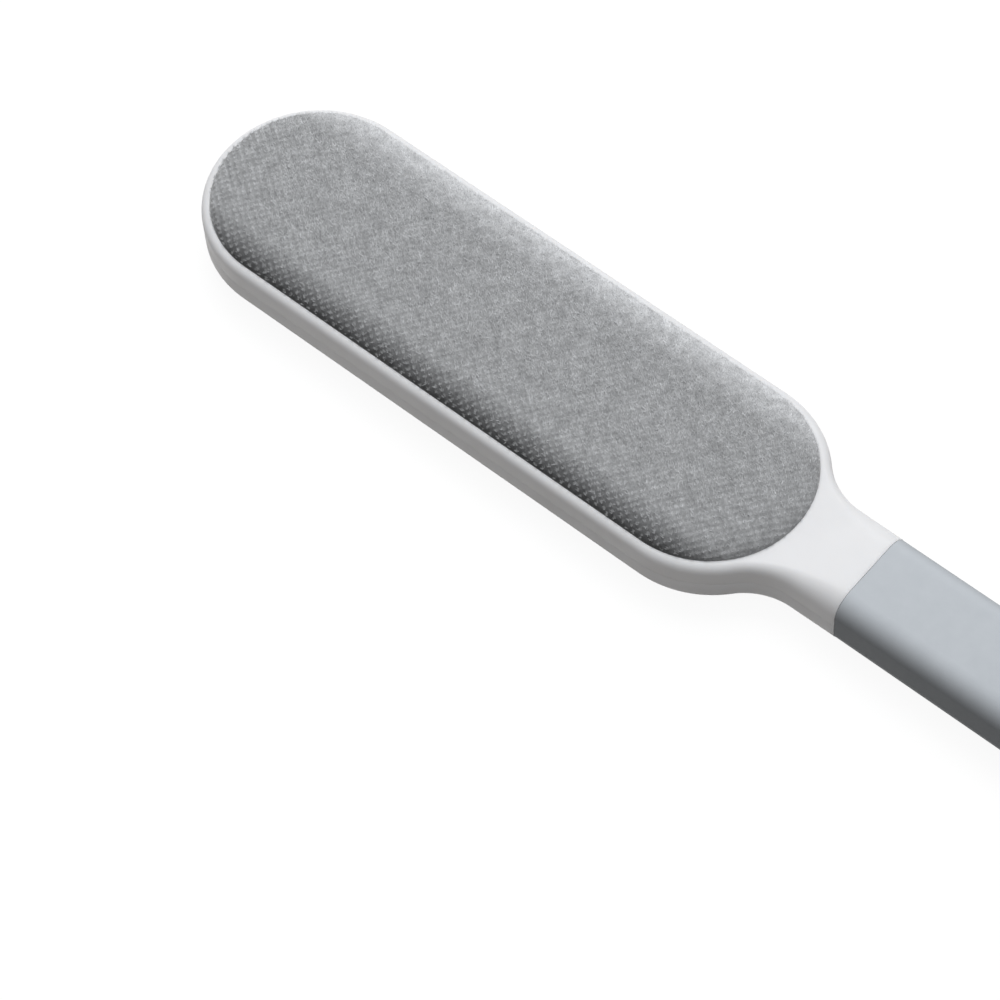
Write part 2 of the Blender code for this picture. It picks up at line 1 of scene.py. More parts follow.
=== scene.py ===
"""Looks of the double-sided lint brush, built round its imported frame. Metres, Z up.

The brush lies on its rear pad, and X runs from the round end of the head to the hanging end. Each piece
is modelled with zero at the head's centre on the middle plane, and then moved into the frame. The rear
half is the front half turned over about X.
"""

import json
import math
from collections import namedtuple

import bmesh
import bpy
import numpy as np
from mathutils import Matrix, Vector, noise

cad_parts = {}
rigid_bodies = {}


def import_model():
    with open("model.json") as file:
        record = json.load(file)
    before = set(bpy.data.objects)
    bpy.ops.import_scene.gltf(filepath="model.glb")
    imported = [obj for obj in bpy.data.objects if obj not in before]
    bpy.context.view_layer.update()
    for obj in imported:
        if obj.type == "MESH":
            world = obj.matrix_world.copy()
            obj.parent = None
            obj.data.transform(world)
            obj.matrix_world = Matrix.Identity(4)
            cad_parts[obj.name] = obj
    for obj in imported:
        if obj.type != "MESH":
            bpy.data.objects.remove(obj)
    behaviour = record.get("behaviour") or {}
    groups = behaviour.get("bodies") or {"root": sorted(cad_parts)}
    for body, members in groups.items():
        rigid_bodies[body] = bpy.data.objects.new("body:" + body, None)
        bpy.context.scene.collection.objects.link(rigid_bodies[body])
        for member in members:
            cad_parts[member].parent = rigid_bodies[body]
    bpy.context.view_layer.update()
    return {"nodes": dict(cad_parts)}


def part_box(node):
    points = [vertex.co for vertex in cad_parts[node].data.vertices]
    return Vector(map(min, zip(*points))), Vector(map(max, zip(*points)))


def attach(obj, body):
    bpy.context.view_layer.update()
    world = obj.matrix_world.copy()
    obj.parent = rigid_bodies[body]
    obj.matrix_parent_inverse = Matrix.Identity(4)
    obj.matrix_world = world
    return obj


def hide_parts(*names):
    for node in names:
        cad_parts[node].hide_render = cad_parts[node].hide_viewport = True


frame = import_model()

SCREWS = range(1, 9)

# Places and sizes that the frame gives
shell_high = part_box("front_shell")[1]
rear_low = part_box("rear_shell")[0]
fabric_low, fabric_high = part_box("front_fabric")
foam_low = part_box("front_foam")[0]
tape_low, tape_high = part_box("front_mounting_tape")
grip_low, grip_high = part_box("grip_sleeve")
cap_low, cap_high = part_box("hanging_cap")
MIDDLE_X = (fabric_low.x + fabric_high.x) / 2
MIDDLE_Z = (shell_high.z + rear_low.z) / 2
PAD_RADIUS = (fabric_high.y - fabric_low.y) / 2
CAP_CENTRE = (fabric_high.x - fabric_low.x) / 2 - PAD_RADIUS
PAD_TOP = fabric_high.z - MIDDLE_Z
FLAP_UNDER = fabric_low.z - MIDDLE_Z
TAPE_TOP = tape_high.z - MIDDLE_Z
TAPE_RADIUS = (tape_high.y - tape_low.y) / 2
FOAM_UNDER = foam_low.z - MIDDLE_Z
HEAD_RADIUS = shell_high.y
GRIP_START = grip_low.x - MIDDLE_X
GRIP_END = grip_high.x - MIDDLE_X
SPIGOT_START = cap_low.x - MIDDLE_X
CAP_END = cap_high.x - MIDDLE_X
NECK_HALF_WIDTH = cap_high.y
NECK_HALF_THICKNESS = shell_high.z - MIDDLE_Z

# Head, neck and seams, with seams finer than the frame's
PAD_GAP = 0.00035
RECESS_DEPTH = 0.0034
RECESS_MOUTH_RADIUS = 0.00012
HEAD_HALF_THICKNESS = 0.0065
HEAD_EDGE_RADIUS = 0.0023
SHOULDER_SHIFT = 0.0008
SHOULDER_FILLET = 0.0175
NECK_EDGE_RADIUS = 0.0060
NECK_RISE_LEAD = 0.0030
CAD_SEAM_GAP = 0.0003
SEAM_GAP = 0.00003
SEAM_EDGE_RADIUS = 0.00010
PARTING = 0.00003
FRONT_PARTING_RADIUS = 0.00006
REAR_PARTING_RADIUS = 0.00014
RECESS_RADIUS = PAD_RADIUS + PAD_GAP
SEAM_X = GRIP_START - CAD_SEAM_GAP
CAP_START = GRIP_END + CAD_SEAM_GAP
FLOOR_TOP = HEAD_HALF_THICKNESS - RECESS_DEPTH
RISE_START = CAP_CENTRE + RECESS_RADIUS - NECK_RISE_LEAD

# Insides of the shells
SHELL_WALL = 0.0020
FLOOR_WALL = 0.0015
INNER_EDGE_RADIUS = 0.0005
RIB_THICKNESS = 0.0012
GRIP_WALL = 0.0026
GRIP_FIT = 0.0003
GRIP_INSET = 0.00010
SCREW_RADIUS = 0.00125
SCREW_HEAD_RADIUS = 0.0023
SCREW_SEAT = 0.0015
SCREW_CLEARANCE = 0.0003
SCREW_SKIN = 0.0005
BOSS_WALL = 0.0010
BARB_LENGTH = 0.0040
BARB_HALF_HEIGHT = 0.0015
BARB_REACH = 0.0013
BARB_INSET = 0.0050
SPIGOT_FIT = 0.0003
SPIGOT_EDGE_RADIUS = 0.0010
EMBED = 0.0005
OVERRUN = 0.0030
WELD = 0.000002
TANG_INSET = GRIP_WALL + GRIP_FIT
TANG_HALF_WIDTH = NECK_HALF_WIDTH - TANG_INSET
TANG_HALF_THICKNESS = NECK_HALF_THICKNESS - TANG_INSET
TANG_EDGE_RADIUS = NECK_EDGE_RADIUS - TANG_INSET
FLOOR_UNDER = FLOOR_TOP - FLOOR_WALL
BOSS_RADIUS = SCREW_HEAD_RADIUS + SCREW_CLEARANCE + BOSS_WALL

# Hanging cap
CAP_TIP_HALF_THICKNESS = 0.0060
CAP_TIP_EDGE_RADIUS = 0.0050
CAP_BLUNTNESS = 2.6
SLOT_RADIUS = 0.0040
SLOT_STRAIGHT = 0.0060
SLOT_END_WALL = 0.0050
SLOT_MOUTH_RADIUS = 0.0015

# Steps round each curve
ARC_STEPS = 40
FILLET_STEPS = 24
EDGE_STEPS = 12
NECK_STEPS = 10
TOP_STEPS = 5
SEAM_STEPS = 4
MOUTH_STEPS = 5
SLOT_STEPS = 28
CAP_TIP_STEPS = 40
HOLE_STEPS = 28
SHARP_ANGLE = math.radians(32)

# One section of a shell: where it meets the outline, the way out of the outline there, the height of the
# face (None where that follows x) and the radius of the rounded edge between the two
Station = namedtuple("Station", "x y across_x across_y level edge")


def steps(first, last, count):
    """Values from first to last in count equal steps, both ends included."""
    return [first + (last - first) * step / count for step in range(count + 1)]


def smooth(share):
    """A share from 0 to 1, eased at both ends."""
    held = min(max(share, 0.0), 1.0)
    return held * held * (3 - 2 * held)


def blend(first, last, share):
    return first + (last - first) * share


# Mesh helpers


def mesh_from(name, form):
    """Turns a finished bmesh into a mesh with its doubles welded and its faces looking out."""
    bmesh.ops.remove_doubles(form, verts=form.verts, dist=WELD)
    bmesh.ops.recalc_face_normals(form, faces=form.faces)
    mesh = bpy.data.meshes.new(name)
    form.to_mesh(mesh)
    form.free()
    return mesh


def loft(form, rows, round_rows=False, round_points=False):
    """Joins rows of points, each as long as the next, with a grid of faces."""
    grid = [[form.verts.new(point) for point in row] for row in rows]
    row_count = len(grid) if round_rows else len(grid) - 1
    point_count = len(grid[0]) if round_points else len(grid[0]) - 1
    for row in range(row_count):
        here = grid[row]
        there = grid[(row + 1) % len(grid)]
        for point in range(point_count):
            after = (point + 1) % len(here)
            form.faces.new((here[point], there[point], there[after], here[after]))
    return grid


def capped_loft(form, rows):
    """A solid of closed rows, with a face over its first and its last."""
    grid = loft(form, rows, round_points=True)
    form.faces.new(grid[0])
    form.faces.new(grid[-1][::-1])


def mirrored(form, axis):
    """Adds the form's mirror image and welds the two."""
    geometry = form.verts[:] + form.edges[:] + form.faces[:]
    bmesh.ops.mirror(form, geom=geometry, matrix=Matrix.Identity(4), merge_dist=WELD, axis=axis)


def stadium(radius, straight, count):
    """The closed outline of a stadium that lies along X, whose flats touch the true curve."""
    outline = []
    half_step = math.pi / count / 2
    reach = radius / math.cos(half_step)
    for centre, start in ((straight / 2, -math.pi / 2), (-straight / 2, math.pi / 2)):
        for angle in steps(start + half_step, start + math.pi - half_step, count - 1):
            outline.append((centre + reach * math.cos(angle), reach * math.sin(angle)))
    return outline


def stadium_solid(name, profile, straight, count, centre=0.0):
    """Stadiums of the profile's radii and levels, joined into a solid."""
    rows = []
    for radius, level in profile:
        rows.append([Vector((centre + x, y, level)) for x, y in stadium(radius, straight, count)])
    form = bmesh.new()
    capped_loft(form, rows)
    return mesh_from(name, form)


def turned_solids(name, places, profile):
    """Solids turned from a profile of radii and levels, one at each place."""
    angles = [math.pi * (2 * step + 1) / HOLE_STEPS for step in range(HOLE_STEPS)]
    form = bmesh.new()
    for x, y in places:
        rows = []
        for radius, level in profile:
            rows.append([(x + radius * math.cos(a), y + radius * math.sin(a), level) for a in angles])
        capped_loft(form, rows)
    return mesh_from(name, form)


def opening(radius, face, edge):
    """Radii and levels of a cutter whose opening is rounded where it comes through the face."""
    profile = []
    for angle in steps(0.0, math.pi / 2, MOUTH_STEPS):
        profile.append((radius + edge * (1 - math.cos(angle)), face - edge * (1 - math.sin(angle))))
    return profile


def boxes(name, corners):
    """One box for each pair of lowest and highest corners."""
    form = bmesh.new()
    for low, high in corners:
        low, high = Vector(low), Vector(high)
        scale = Matrix.Diagonal((*(high - low), 1.0))
        bmesh.ops.create_cube(form, size=1.0, matrix=Matrix.Translation((low + high) / 2) @ scale)
    return mesh_from(name, form)


def combined(mesh, others, operation="DIFFERENCE"):
    """The mesh less the others, or joined with them."""
    work = bpy.data.collections.new("work")
    bpy.context.scene.collection.children.link(work)
    target = bpy.data.objects.new("target", mesh)
    work.objects.link(target)
    for other in others:
        tool = bpy.data.objects.new("tool", other)
        work.objects.link(tool)
        modifier = target.modifiers.new("Combine", "BOOLEAN")
        modifier.operation = operation
        modifier.solver = "EXACT"
        modifier.object = tool
    shown = target.evaluated_get(bpy.context.evaluated_depsgraph_get())
    result = bpy.data.meshes.new_from_object(shown)
    for item in list(work.objects):
        bpy.data.objects.remove(item, do_unlink=True)
    bpy.data.collections.remove(work)
    return result


def linked(name, data):
    """A new object in the scene."""
    item = bpy.data.objects.new(name, data)
    bpy.context.scene.collection.objects.link(item)
    return item


def place(mesh, turned):
    """Moves a mesh from the brush's own frame into the row's."""
    if turned:
        mesh.transform(Matrix.Rotation(math.pi, 4, "X"))
    mesh.transform(Matrix.Translation((MIDDLE_X, 0.0, MIDDLE_Z)))
    mesh.update()


def add_piece(name, mesh, material, slot, *nodes):
    """Puts a piece into the scene in place of the frame's nodes."""
    piece = linked(name, mesh)
    mesh.materials.clear()
    mesh.materials.append(material)
    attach(piece, "root")
    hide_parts(*nodes)
    return piece


def rounded(mesh):
    """Smooth shading that stops at sharp corners."""
    mesh.shade_smooth()
    mesh.set_sharp_from_angle(angle=SHARP_ANGLE)


# Shells


def rise_share(x):
    """How far the head has turned into the neck at x."""
    return smooth((x - RISE_START) / (SEAM_X - RISE_START))


def body_stations(inset, seam_edge, end):
    """Half outline of a shell, inset by a wall, from the head's far tip to the end of the tang."""
    stations = []

    def add(x, y, across_x, across_y, level, edge):
        stations.append(Station(x, y, across_x, across_y, level, max(edge - inset, INNER_EDGE_RADIUS)))

    def body(x, y, across_x, across_y):
        add(x, y, across_x, across_y, None, blend(HEAD_EDGE_RADIUS, NECK_EDGE_RADIUS, rise_share(x)))

    centre = CAP_CENTRE + SHOULDER_SHIFT
    head = HEAD_RADIUS - inset
    neck = NECK_HALF_WIDTH - inset
    fillet = SHOULDER_FILLET + inset
    fillet_y = neck + fillet
    fillet_x = math.sqrt((head + fillet) ** 2 - fillet_y ** 2)
    turn = math.atan2(fillet_y, fillet_x)
    for angle in steps(math.pi, math.pi / 2, ARC_STEPS):
        body(head * math.cos(angle) - CAP_CENTRE, head * math.sin(angle), math.cos(angle), math.sin(angle))
    for angle in steps(math.pi / 2, turn, ARC_STEPS):
        body(head * math.cos(angle) + centre, head * math.sin(angle), math.cos(angle), math.sin(angle))
    for angle in steps(turn + math.pi, 1.5 * math.pi, FILLET_STEPS)[1:]:
        x = centre + fillet_x + fillet * math.cos(angle)
        body(x, fillet_y + fillet * math.sin(angle), -math.cos(angle), -math.sin(angle))
    seam = SEAM_X - inset
    for x in steps(centre + fillet_x, seam - seam_edge, NECK_STEPS)[1:-1]:
        body(x, neck, 0.0, 1.0)
    for angle in steps(0.0, math.pi / 2, SEAM_STEPS):
        step_in = seam_edge * (1 - math.cos(angle))
        x = seam - seam_edge * (1 - math.sin(angle))
        level = NECK_HALF_THICKNESS - step_in - inset
        add(x, neck - step_in, 0.0, 1.0, level, NECK_EDGE_RADIUS - step_in)
    for x in (seam, end):
        add(x, TANG_HALF_WIDTH - inset, 0.0, 1.0, TANG_HALF_THICKNESS - inset, TANG_EDGE_RADIUS)
    return stations


def section(station, inset, bottom, bottom_radius):
    """Points of one section, from the middle line over the rounded edge and down to bottom."""
    across = Vector((station.across_x, station.across_y, 0.0))
    foot = Vector((station.x, station.y, 0.0))
    points = []
    for angle in steps(math.pi / 2, 0.0, EDGE_STEPS):
        point = foot - across * station.edge * (1 - math.cos(angle))
        level = station.level
        if level is None:
            level = blend(HEAD_HALF_THICKNESS, NECK_HALF_THICKNESS, rise_share(point.x)) - inset
        point.z = level - station.edge * (1 - math.sin(angle))
        points.append(point)
    first = points[0].copy()
    for share in steps(1.0, 0.0, TOP_STEPS)[1:]:
        points.insert(0, Vector((first.x, first.y * share, first.z)))
    for angle in steps(0.0, math.pi / 2, SEAM_STEPS):
        level = bottom + bottom_radius * (1 - math.sin(angle))
        points.append(foot - across * bottom_radius * (1 - math.cos(angle)) + Vector((0.0, 0.0, level)))
    return points


def half_body(name, inset, seam_edge, end, bottom, bottom_radius):
    """Both sides of a solid with a flat underside."""
    form = bmesh.new()
    stations = body_stations(inset, seam_edge, end)
    rows = [section(station, inset, bottom, bottom_radius) for station in stations]
    grid = loft(form, rows)
    corner = form.verts.new((rows[-1][-1].x, 0.0, bottom))
    form.faces.new([row[-1] for row in grid] + [corner])
    form.faces.new([corner] + grid[-1][::-1])
    mirrored(form, "Y")
    return mesh_from(name, form)


def recess_mesh():
    """The pad's recess as a cutter, with a small rounded mouth."""
    profile = [(RECESS_RADIUS, FLOOR_TOP)]
    profile += opening(RECESS_RADIUS, HEAD_HALF_THICKNESS, RECESS_MOUTH_RADIUS)
    profile.append((RECESS_RADIUS + RECESS_MOUTH_RADIUS, NECK_HALF_THICKNESS + OVERRUN))
    return stadium_solid("recess", profile, 2 * CAP_CENTRE, 2 * ARC_STEPS)


def screw_places():
    """Where the frame's screws stand, six in the head and two in the tang."""
    places = []
    for number in SCREWS:
        low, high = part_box("shell_screw_%d" % number)
        places.append(((low.x + high.x) / 2 - MIDDLE_X, (low.y + high.y) / 2))
    head = [(x, y) for x, y in places if x < SEAM_X]
    tang = [(x, y) for x, y in places if x > SEAM_X]
    return head, tang


def rib_corners(head, tang):
    """Cross ribs between the bosses of the head, in the neck and halfway along the tang."""
    half = RIB_THICKNESS / 2
    rib_x = max(x for x, y in head) / 2
    neck_x = (CAP_CENTRE + HEAD_RADIUS + SEAM_X) / 2
    tang_x = (tang[0][0] + tang[1][0]) / 2
    ribs = [(-rib_x, HEAD_RADIUS, FLOOR_UNDER + EMBED),
            (rib_x, HEAD_RADIUS, FLOOR_UNDER + EMBED),
            (neck_x, NECK_HALF_WIDTH, HEAD_HALF_THICKNESS - SHELL_WALL),
            (tang_x, TANG_HALF_WIDTH, TANG_HALF_THICKNESS - SHELL_WALL + EMBED)]
    corners = []
    for x, width, top in ribs:
        reach = width - SHELL_WALL / 2
        corners.append(((x - half, -reach, PARTING), (x + half, reach, top)))
    return corners


def screw_hole_profile(is_front):
    """Radii and levels of a pilot hole, or of a through hole with a pocket for the head."""
    if is_front:
        pilot = SCREW_RADIUS + SCREW_CLEARANCE / 2
        return [(pilot, -OVERRUN), (pilot, FLOOR_TOP - SCREW_SKIN / 2)]
    through = SCREW_RADIUS + SCREW_CLEARANCE
    pocket = SCREW_HEAD_RADIUS + SCREW_CLEARANCE
    return [(through, -OVERRUN), (through, SCREW_SEAT), (pocket, SCREW_SEAT),
            (pocket, NECK_HALF_THICKNESS + OVERRUN)]


def window_corners():
    """Openings in the tang's sides for the cap's barbs."""
    end = GRIP_END - BARB_INSET + SPIGOT_FIT
    start = end - BARB_LENGTH - 2 * SPIGOT_FIT
    inner_y = TANG_HALF_WIDTH - SHELL_WALL - EMBED
    outer_y = TANG_HALF_WIDTH + OVERRUN
    top = BARB_HALF_HEIGHT + SPIGOT_FIT
    return [((start, inner_y, -OVERRUN), (end, outer_y, top)),
            ((start, -outer_y, -OVERRUN), (end, -inner_y, top))]


def hollowed(mesh, is_front):
    """The shell with its room, tray, ribs, bosses, screw holes and barb windows."""
    head, tang = screw_places()
    cavity = half_body("cavity", SHELL_WALL, 0.0, GRIP_END + OVERRUN, -OVERRUN, 0.0)
    tray_radius = (RECESS_RADIUS + HEAD_RADIUS) / 2
    tray_profile = [(tray_radius, FLOOR_UNDER), (tray_radius, HEAD_HALF_THICKNESS)]
    tray = stadium_solid("tray", tray_profile, 2 * CAP_CENTRE, ARC_STEPS)
    mesh = combined(mesh, [combined(cavity, [tray])])
    additions = [boxes("ribs", rib_corners(head, tang))]
    for places, top in ((head, FLOOR_UNDER + EMBED), (tang, TANG_HALF_THICKNESS - SHELL_WALL + EMBED)):
        additions.append(turned_solids("bosses", places, [(BOSS_RADIUS, PARTING), (BOSS_RADIUS, top)]))
    mesh = combined(mesh, additions, "UNION")
    holes = turned_solids("holes", head + tang, screw_hole_profile(is_front))
    return combined(mesh, [holes, boxes("windows", window_corners())])


def shell(name, node, is_front, parting_radius, material):
    """One half of the white body."""
    mesh = half_body(name, 0.0, SEAM_EDGE_RADIUS, GRIP_END, PARTING, parting_radius)
    mesh = hollowed(mesh, is_front)
    mesh = combined(mesh, [recess_mesh()])
    rounded(mesh)
    place(mesh, not is_front)
    add_piece(name, mesh, material, "shell", node)


# Grip and hanging cap


def ring(x, half_width, half_height, edge):
    """One closed section of the grip, square to X."""
    points = []
    for corner in range(4):
        side_y = 1 if corner in (0, 3) else -1
        side_z = 1 if corner in (0, 1) else -1
        for angle in steps(corner * math.pi / 2, (corner + 1) * math.pi / 2, EDGE_STEPS):
            y = side_y * (half_width - edge) + edge * math.cos(angle)
            z = side_z * (half_height - edge) + edge * math.sin(angle)
            points.append(Vector((x, y, z)))
    return points


def grip(material):
    """A sleeve with rounded ends, and a bore that clears the tang."""
    start = SEAM_X + SEAM_GAP
    end = CAP_START - SEAM_GAP
    rows = []

    def add(x, inset):
        rows.append(ring(x, NECK_HALF_WIDTH - inset, NECK_HALF_THICKNESS - inset, NECK_EDGE_RADIUS - inset))

    for face, way, angles in ((start, 1, steps(math.pi / 2, 0.0, SEAM_STEPS)),
                              (end, -1, steps(0.0, math.pi / 2, SEAM_STEPS))):
        for angle in angles:
            x = face + way * SEAM_EDGE_RADIUS * (1 - math.sin(angle))
            add(x, GRIP_INSET + SEAM_EDGE_RADIUS * (1 - math.cos(angle)))
    for x in (end, start):
        add(x, GRIP_WALL)
    form = bmesh.new()
    loft(form, rows, round_rows=True, round_points=True)
    mesh = mesh_from("soft_grip", form)
    rounded(mesh)
    place(mesh, False)
    add_piece("soft_grip", mesh, material, "grip", "grip_sleeve")


def cap_stations():
    """Half outline of the cap: a rounded edge at the seam, then half of a blunt oval."""
    stations = []
    for angle in steps(math.pi / 2, 0.0, SEAM_STEPS):
        step_in = SEAM_EDGE_RADIUS * (1 - math.cos(angle))
        x = CAP_START + SEAM_EDGE_RADIUS * (1 - math.sin(angle))
        level = NECK_HALF_THICKNESS - step_in
        stations.append(Station(x, NECK_HALF_WIDTH - step_in, 0.0, 1.0, level, NECK_EDGE_RADIUS - step_in))
    start = CAP_START + SEAM_EDGE_RADIUS
    reach = CAP_END - start
    for angle in steps(0.0, math.pi / 2, CAP_TIP_STEPS)[1:]:
        along = math.sin(angle) ** (2 / CAP_BLUNTNESS)
        out = max(math.cos(angle), 0.0) ** (2 / CAP_BLUNTNESS)
        if angle == math.pi / 2:
            out = 0.0
        slope = Vector((along ** (CAP_BLUNTNESS - 1) / reach, out ** (CAP_BLUNTNESS - 1) / NECK_HALF_WIDTH))
        slope.normalize()
        fall = smooth(along)
        level = blend(NECK_HALF_THICKNESS, CAP_TIP_HALF_THICKNESS, fall)
        edge = blend(NECK_EDGE_RADIUS, CAP_TIP_EDGE_RADIUS, fall)
        x, y = start + reach * along, NECK_HALF_WIDTH * out
        stations.append(Station(x, y, slope.x, slope.y, level, edge))
    return stations


def slot_mesh():
    """The hanging slot with a rounded mouth on both faces."""
    centre = CAP_END - SLOT_END_WALL - SLOT_RADIUS - SLOT_STRAIGHT / 2
    share = (centre - CAP_START) / (CAP_END - CAP_START)
    face = blend(NECK_HALF_THICKNESS, CAP_TIP_HALF_THICKNESS, smooth(share))
    profile = opening(SLOT_RADIUS, face, SLOT_MOUTH_RADIUS)
    profile.append((SLOT_RADIUS + SLOT_MOUTH_RADIUS, face + OVERRUN))
    profile = [(radius, -level) for radius, level in profile[::-1]] + profile
    return stadium_solid("slot", profile, SLOT_STRAIGHT, SLOT_STEPS, centre)


def spigot_mesh():
    """The plug that the tang takes, with a barb on each side."""
    inner_y = TANG_HALF_WIDTH - SHELL_WALL - SPIGOT_FIT
    inner_z = TANG_HALF_THICKNESS - SHELL_WALL - SPIGOT_FIT
    form = bmesh.new()
    rows = [ring(x, inner_y, inner_z, SPIGOT_EDGE_RADIUS) for x in (SPIGOT_START, CAP_START + EMBED)]
    capped_loft(form, rows)
    barb_end = GRIP_END - BARB_INSET
    barb = ((barb_end - BARB_LENGTH, -inner_y - BARB_REACH, -BARB_HALF_HEIGHT),
            (barb_end, inner_y + BARB_REACH, BARB_HALF_HEIGHT))
    return combined(mesh_from("spigot", form), [boxes("barb", [barb])], "UNION")


def cap(material):
    """The hanging end: a quarter of it mirrored twice, with its plug and its slot."""
    form = bmesh.new()
    grid = loft(form, [section(station, 0.0, 0.0, 0.0) for station in cap_stations()])
    form.faces.new(grid[0] + [form.verts.new((CAP_START, 0.0, 0.0))])
    mirrored(form, "Y")
    mirrored(form, "Z")
    mesh = combined(mesh_from("hanging_end", form), [spigot_mesh()], "UNION")
    mesh = combined(mesh, [slot_mesh()])
    rounded(mesh)
    place(mesh, False)
    add_piece("hanging_end", mesh, material, "shell", "hanging_cap")


# Pads


PAD_CROWN = 0.0005
ROLL_WIDTH = 0.0083
ROLL_SINK = -0.00020
ROLL_TABLE_SIZE = 400
COVER_SPREAD = 0.00060
FABRIC_THICKNESS = 0.0009
FLAP_WIDTH = 0.0050
FLAP_CORNER = 0.0010
TUCK_INSET = 0.00045
TUCK_DROP = 0.00018
LAYER_GAP = 0.00025
COVER_SINK = 0.00020
COVER_THICKNESS = 0.0006
GRID_STEP = 0.00044
ROLL_BASE = HEAD_HALF_THICKNESS - ROLL_SINK
ROLL_TOP = PAD_TOP - PAD_CROWN
ROLL_RISE = ROLL_TOP - ROLL_BASE
COVER_RADIUS = PAD_RADIUS + COVER_SPREAD
CROWN_RADIUS = COVER_RADIUS - ROLL_WIDTH
FOAM_INSET = FABRIC_THICKNESS + LAYER_GAP

# The knit: two waves in cycles per metre, its relief, and the fluff that roughens it
WAVE_ONE = (355.0, 485.0)
WAVE_TWO = (-490.0, 360.0)
RIB_HEIGHT = 0.00012
DOT_HEIGHT = 0.00007
FLUFF_HEIGHT = 0.00016
FLUFF_SIZE = 0.0017
RIM_FADE = 0.0008


def roll_table():
    """Arc length down the rolled edge, a quarter ellipse in section, against its angle."""
    angles = np.linspace(math.pi / 2, 0.0, ROLL_TABLE_SIZE)
    out = ROLL_WIDTH * np.clip(np.cos(angles), 0.0, 1.0)
    level = ROLL_RISE * np.sin(angles)
    lengths = np.concatenate([[0.0], np.cumsum(np.hypot(np.diff(out), np.diff(level)))])
    return angles, lengths


ROLL_ANGLES, ROLL_LENGTHS = roll_table()
CLOTH_RADIUS = CROWN_RADIUS + ROLL_LENGTHS[-1]


def spine(u):
    """The nearest place on the line between the centres of the round ends."""
    return np.clip(u, -CAP_CENTRE, CAP_CENTRE)


def from_spine(u, v):
    """How far places on the flat cloth are from that line."""
    return np.hypot(u - spine(u), v)


def drape(u, v, limit):
    """Points and normals of the stretched fabric for places on the flat cloth."""
    centre = spine(u)
    flat = from_spine(u, v)
    safe = np.where(flat > 0, flat, 1.0)
    way_x, way_y = (u - centre) / safe, v / safe
    angle = np.interp(flat - CROWN_RADIUS, ROLL_LENGTHS, ROLL_ANGLES)
    crown = np.clip(flat / CROWN_RADIUS, 0.0, 1.0)
    out = np.clip(np.cos(angle), 0.0, 1.0)
    rise = np.clip(np.sin(angle), 0.0, 1.0)
    reach = np.minimum(flat, CROWN_RADIUS) + ROLL_WIDTH * out
    level = ROLL_BASE + ROLL_RISE * rise + PAD_CROWN * (1 - crown ** 2) ** 2
    slope = np.stack([out / ROLL_WIDTH, rise / ROLL_RISE], -1)
    slope /= np.linalg.norm(slope, axis=-1, keepdims=True)
    points = np.stack([centre + way_x * reach, way_y * reach, np.minimum(level, limit)], -1)
    normals = np.stack([way_x * slope[..., 0], way_y * slope[..., 0], slope[..., 1]], -1)
    return points, normals


def cloth_grid():
    """Places on the flat cloth: a rectangle's grid whose ends are mapped to half discs."""
    cap_count = round(CLOTH_RADIUS / GRID_STEP)
    straight_count = 2 * round(CAP_CENTRE / GRID_STEP)
    side = np.linspace(-1.0, 1.0, 2 * cap_count + 1)
    end = np.concatenate([np.linspace(-1.0, 0.0, cap_count + 1)[:-1], np.zeros(straight_count + 1),
                          np.linspace(0.0, 1.0, cap_count + 1)[1:]])
    centre = np.concatenate([np.full(cap_count, -1.0), np.linspace(-1.0, 1.0, straight_count + 1),
                             np.full(cap_count, 1.0)]) * CAP_CENTRE
    ends, sides = np.meshgrid(end, side, indexing="ij")
    u = centre[:, None] + CLOTH_RADIUS * ends * np.sqrt(1 - sides ** 2 / 2)
    v = CLOTH_RADIUS * sides * np.sqrt(1 - ends ** 2 / 2)
    return u, v


def fluff(u, v):
    """Noise over the flat cloth."""
    heights = [noise.noise(Vector((a, b, 0.0)) / FLUFF_SIZE) for a, b in zip(u.ravel(), v.ravel())]
    return np.array(heights).reshape(u.shape)


def relief(u, v):
    """Height of the knit's ribs, dots and fluff, which fades out at the rim."""
    rib = np.cos(2 * math.pi * (WAVE_ONE[0] * u + WAVE_ONE[1] * v))
    dot = np.cos(2 * math.pi * (WAVE_TWO[0] * u + WAVE_TWO[1] * v))
    fade = np.clip((CLOTH_RADIUS - from_spine(u, v)) / RIM_FADE, 0.0, 1.0)
    return fade * (RIB_HEIGHT * rib + DOT_HEIGHT * dot + FLUFF_HEIGHT * fluff(u, v))


def grid_faces(shape, first):
    """Quads of a grid whose points count from first, and the points round its rim."""
    rows, columns = shape
    index = first + np.arange(rows * columns).reshape(rows, columns)
    quads = np.stack([index[:-1, :-1], index[1:, :-1], index[1:, 1:], index[:-1, 1:]], -1).reshape(-1, 4)
    rim = np.concatenate([index[:, 0], index[-1, 1:], index[-2::-1, -1], index[0, -2:0:-1]])
    return quads, rim


